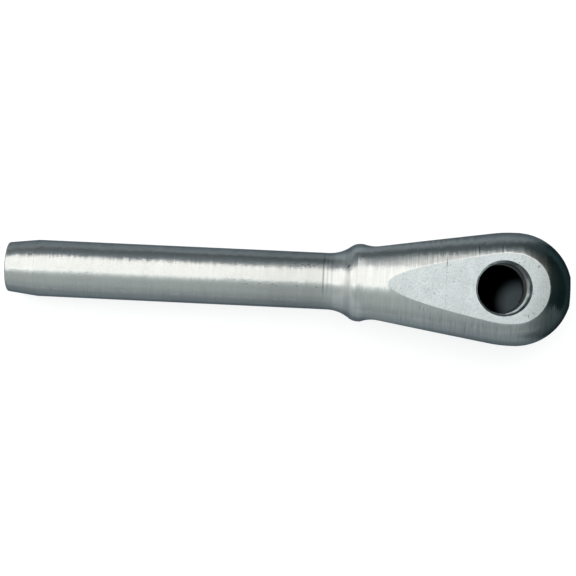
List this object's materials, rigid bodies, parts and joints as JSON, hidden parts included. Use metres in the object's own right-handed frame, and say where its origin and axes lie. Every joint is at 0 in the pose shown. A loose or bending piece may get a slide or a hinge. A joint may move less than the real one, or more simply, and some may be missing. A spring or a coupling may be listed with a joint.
{
  "type": "swage fork terminal",
  "caption": "Wire rope end fitting turned from one steel bar: a hollow shank that is pressed onto the rope, a collar, and a flattened fork with a cross hole for a clevis pin.",
  "frame": {"origin": "centre of the clevis pin hole, midway between the ears, on the bar's axis", "axes": "+X along the bar's axis towards the nose, +Z along the pin hole; the part lies on its lower flat"},
  "size_m": [0.0902, 0.018, 0.0157],
  "materials": {
    "steel": "turned stainless steel, with milled flats of a finer matte grain"
  },
  "bodies": {
    "root": {"fork_terminal": "steel"}
  },
  "joints": []
}
